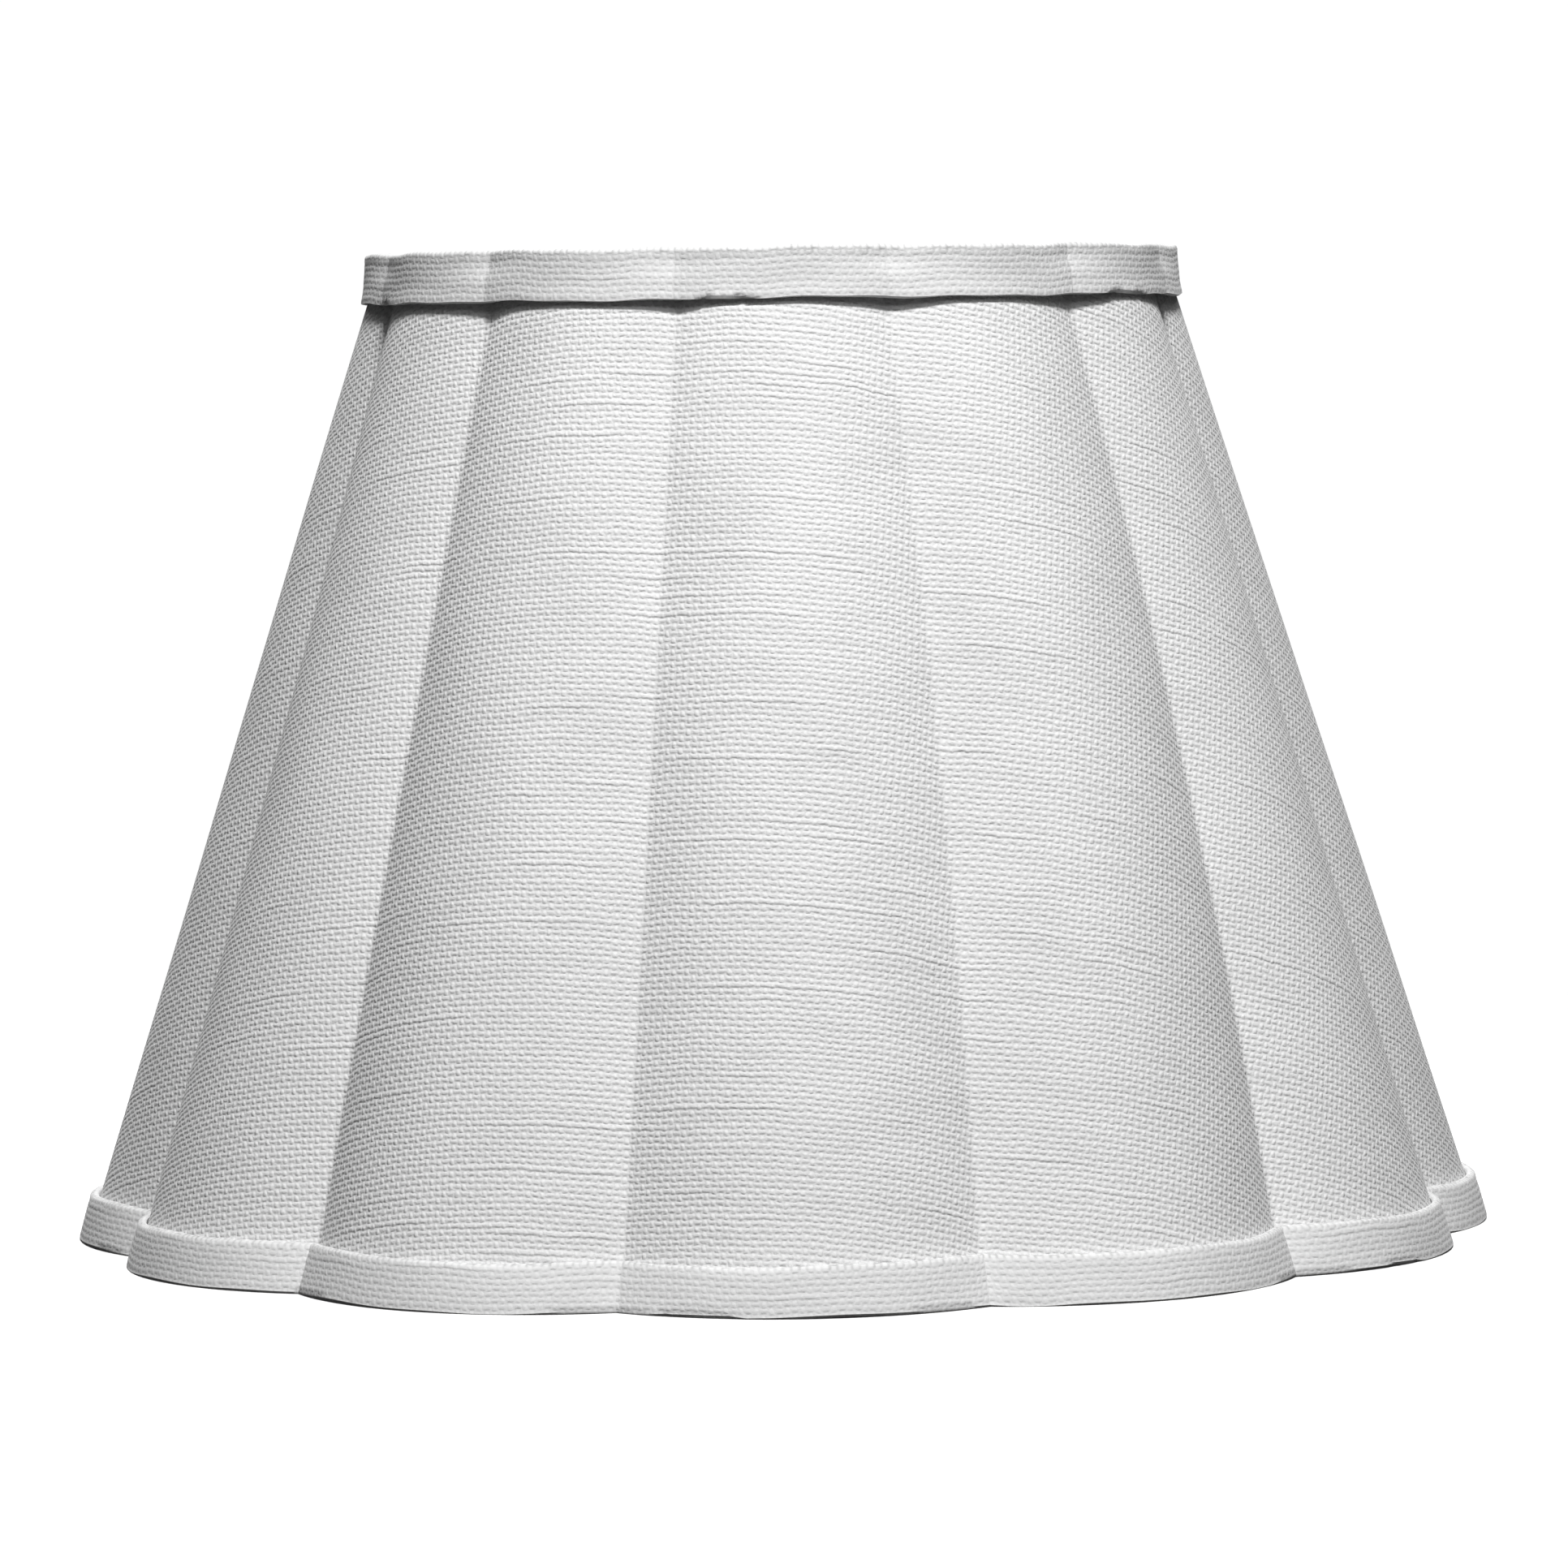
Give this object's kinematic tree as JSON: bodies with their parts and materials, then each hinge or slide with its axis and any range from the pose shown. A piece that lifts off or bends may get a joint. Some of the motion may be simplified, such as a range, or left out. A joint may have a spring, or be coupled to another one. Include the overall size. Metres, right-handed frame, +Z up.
{
  "type": "lamp shade",
  "caption": "Scalloped empire lamp shade: linen on a white styrene liner bent into round lobes, folded linen trims over wire rings, and a recessed spider washer for a harp.",
  "frame": {"origin": "middle of the foot, on the plane that the shade stands on", "axes": "+Z up along the shade's axis towards the top ring; four of the lobes' crests lie along +X, +Y, -X and -Y"},
  "size_m": [0.3048, 0.3048, 0.211],
  "materials": {
    "cover_linen": "coarse plain-weave linen, optic white, matt, with slubs",
    "trim_linen": "the same linen cut as a strip and folded, matt",
    "liner_styrene": "white styrene sheet, satin",
    "frame_wire": "bright zinc-plated steel wire, satin"
  },
  "bodies": {
    "root": {"linen_cover": "cover_linen", "styrene_liner": "liner_styrene", "top_trim": "trim_linen", "bottom_trim": "trim_linen", "top_ring": "frame_wire", "bottom_ring": "frame_wire", "spider_arm_1": "frame_wire", "spider_arm_2": "frame_wire", "spider_arm_3": "frame_wire", "spider_washer": "frame_wire"}
  },
  "joints": []
}
